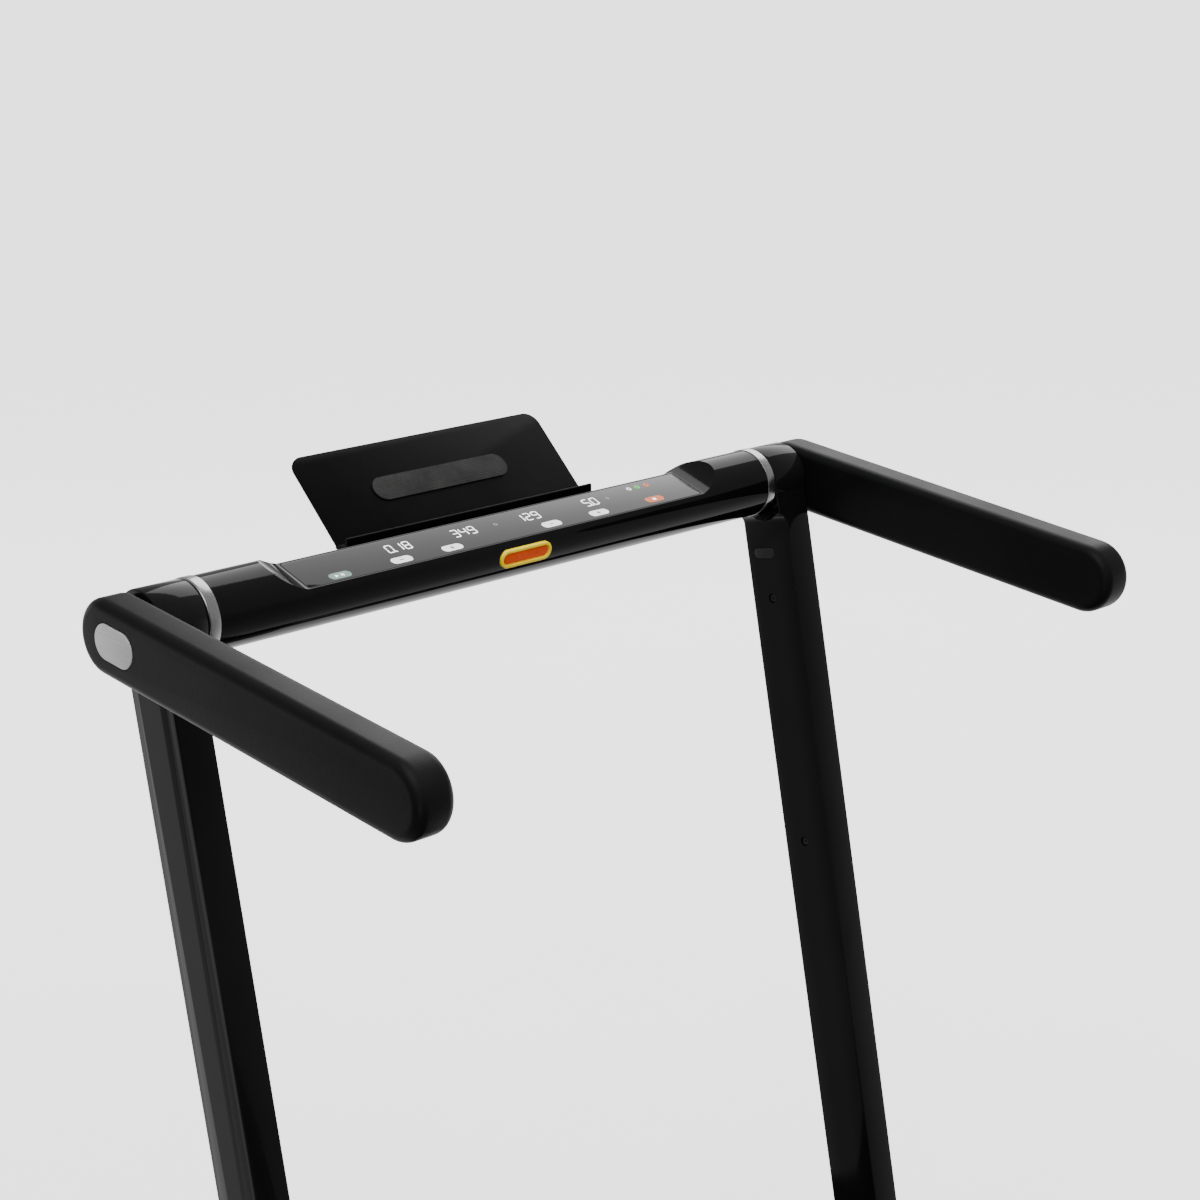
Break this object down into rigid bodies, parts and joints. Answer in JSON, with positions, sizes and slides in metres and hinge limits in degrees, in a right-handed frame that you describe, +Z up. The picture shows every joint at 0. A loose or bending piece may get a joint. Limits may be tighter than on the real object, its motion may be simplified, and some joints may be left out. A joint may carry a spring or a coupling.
{
  "type": "treadmill",
  "caption": "Compact folding treadmill with a low powered deck, a folding mast, a round console bar with a touch display and tablet ledge, and folding handrails.",
  "frame": {"origin": "on the floor, below the middle of the deck (bottom centre of the bounding box)", "axes": "+X to the user's right, +Y forward towards the motor and console, +Z up"},
  "size_m": [0.8294, 1.52, 1.1609],
  "materials": {
    "frame_steel": "satin black powder coat",
    "mast_gloss": "gloss black paint",
    "gloss_black": "gloss black moulding",
    "grip_black": "soft satin black",
    "rail_black": "fine textured black",
    "dark_plastic": "textured dark grey",
    "rubber_black": "matt black rubber",
    "walking_belt": "woven-texture black belt",
    "deck_wood": "waxed fibreboard",
    "bright_steel": "zinc plated",
    "brushed_aluminium": "brushed",
    "board_green": "solder resist",
    "smoked_glass": "black-backed polished glass",
    "rim_yellow": "satin",
    "pad_orange": "satin",
    "pad_grey": "soft grey pad",
    "badge_silver": "satin silver",
    "switch_red": "gloss red"
  },
  "bodies": {
    "base": {"side_beam_left": "frame_steel", "side_beam_right": "frame_steel", "cross_member_front": "frame_steel", "cross_member_rear": "frame_steel", "deck_board": "deck_wood", "deck_cushion_left": "rubber_black", "deck_cushion_right": "rubber_black", "running_belt": "walking_belt", "front_axle": "bright_steel", "rear_axle": "bright_steel", "side_rail_left": "rail_black", "side_rail_right": "rail_black", "end_cap_left": "rail_black", "end_cap_right": "rail_black", "tension_bolt_left": "bright_steel", "tension_bolt_right": "bright_steel", "hood_top": "gloss_black", "hood_side_left": "gloss_black", "hood_side_right": "gloss_black", "belly_pan": "dark_plastic", "motor": "frame_steel", "drive_belt": "rubber_black", "controller_box": "brushed_aluminium", "inlet_panel": "dark_plastic", "foot_front_left": "rubber_black", "foot_front_right": "rubber_black", "foot_rear_left": "rubber_black", "foot_rear_right": "rubber_black", "pivot_plate_left": "frame_steel", "pivot_plate_right": "frame_steel", "pivot_bolt_left": "bright_steel", "pivot_bolt_right": "bright_steel"},
    "front_roller_set": {"front_roller": "bright_steel", "roller_pulley": "brushed_aluminium"},
    "rear_roller_set": {"rear_roller": "bright_steel"},
    "motor_rotor": {"motor_pulley": "bright_steel"},
    "wheel_left": {"wheel_left": "rubber_black"},
    "wheel_right": {"wheel_right": "rubber_black"},
    "power_switch": {"power_switch": "switch_red"},
    "breaker_button": {"breaker_button": "dark_plastic"},
    "mast": {"upright_left": "mast_gloss", "upright_right": "mast_gloss", "console_shell": "gloss_black", "console_cover": "gloss_black", "core_tube": "bright_steel", "trim_ring_left": "brushed_aluminium", "trim_ring_right": "brushed_aluminium", "display_glass": "smoked_glass", "display_board": "board_green", "stop_rim": "rim_yellow", "hinge_pin": "bright_steel"},
    "stop_pad": {"stop_pad": "pad_orange"},
    "tablet": {"tablet_plate": "grip_black", "tablet_pad": "pad_grey"},
    "handrail_left": {"handrail_left": "grip_black", "badge_left": "badge_silver"},
    "handrail_right": {"handrail_right": "grip_black", "badge_right": "badge_silver"},
    "lock_knob_left": {"lock_knob_left": "dark_plastic"},
    "lock_knob_right": {"lock_knob_right": "dark_plastic"}
  },
  "joints": [
    {"name": "mast_fold", "type": "hinge", "parent": "base", "child": "mast", "pos_m": [0, 0.45, 0.165], "axis": [1, 0, 0], "range_deg": [0, 101.65]},
    {"name": "handrail_left_fold", "type": "hinge", "parent": "mast", "child": "handrail_left", "pos_m": [-0.39, 0.63865, 1.08], "axis": [1, 0, 0], "range_deg": [0, 72.9]},
    {"name": "handrail_right_fold", "type": "hinge", "parent": "mast", "child": "handrail_right", "pos_m": [0.39, 0.63865, 1.08], "axis": [1, 0, 0], "range_deg": [0, 72.9]},
    {"name": "tablet_fold", "type": "hinge", "parent": "mast", "child": "tablet", "pos_m": [0, 0.67915, 1.0885], "axis": [-1, 0, 0], "range_deg": [0, 120]},
    {"name": "stop_press", "type": "slide", "parent": "mast", "child": "stop_pad", "axis": [0, 0.9866, 0.1633], "range_m": [0, 0.003], "stiffness_N_per_m": 900},
    {"name": "lock_knob_left_turn", "type": "hinge", "parent": "mast", "child": "lock_knob_left", "pos_m": [-0.377, 0.46111, 0.21887], "axis": [-1, 0, 0], "range_deg": [0, 360]},
    {"name": "lock_knob_right_turn", "type": "hinge", "parent": "mast", "child": "lock_knob_right", "pos_m": [0.377, 0.46111, 0.21887], "axis": [1, 0, 0], "range_deg": [0, 360]},
    {"name": "front_roller_spin", "type": "hinge", "parent": "base", "child": "front_roller_set", "pos_m": [0, 0.5, 0.081], "axis": [1, 0, 0], "continuous": true},
    {"name": "rear_roller_spin", "type": "hinge", "parent": "base", "child": "rear_roller_set", "pos_m": [0, -0.71, 0.081], "axis": [1, 0, 0], "continuous": true},
    {"name": "motor_spin", "type": "hinge", "parent": "base", "child": "motor_rotor", "pos_m": [0, 0.655, 0.088], "axis": [1, 0, 0], "continuous": true},
    {"name": "wheel_left_spin", "type": "hinge", "parent": "base", "child": "wheel_left", "pos_m": [-0.305, 0.7305, 0.0275], "axis": [1, 0, 0], "continuous": true},
    {"name": "wheel_right_spin", "type": "hinge", "parent": "base", "child": "wheel_right", "pos_m": [0.305, 0.7305, 0.0275], "axis": [1, 0, 0], "continuous": true},
    {"name": "power_switch_rock", "type": "hinge", "parent": "base", "child": "power_switch", "pos_m": [0.228, 0.7495, 0.065], "axis": [-1, 0, 0], "range_deg": [0, 20]},
    {"name": "breaker_press", "type": "slide", "parent": "base", "child": "breaker_button", "axis": [0, -1, 0], "range_m": [0, 0.003], "stiffness_N_per_m": 600}
  ],
  "couplings": [
    {"joint": "rear_roller_spin", "follows": "front_roller_spin", "ratio": 1},
    {"joint": "motor_spin", "follows": "front_roller_spin", "ratio": 2.5}
  ]
}
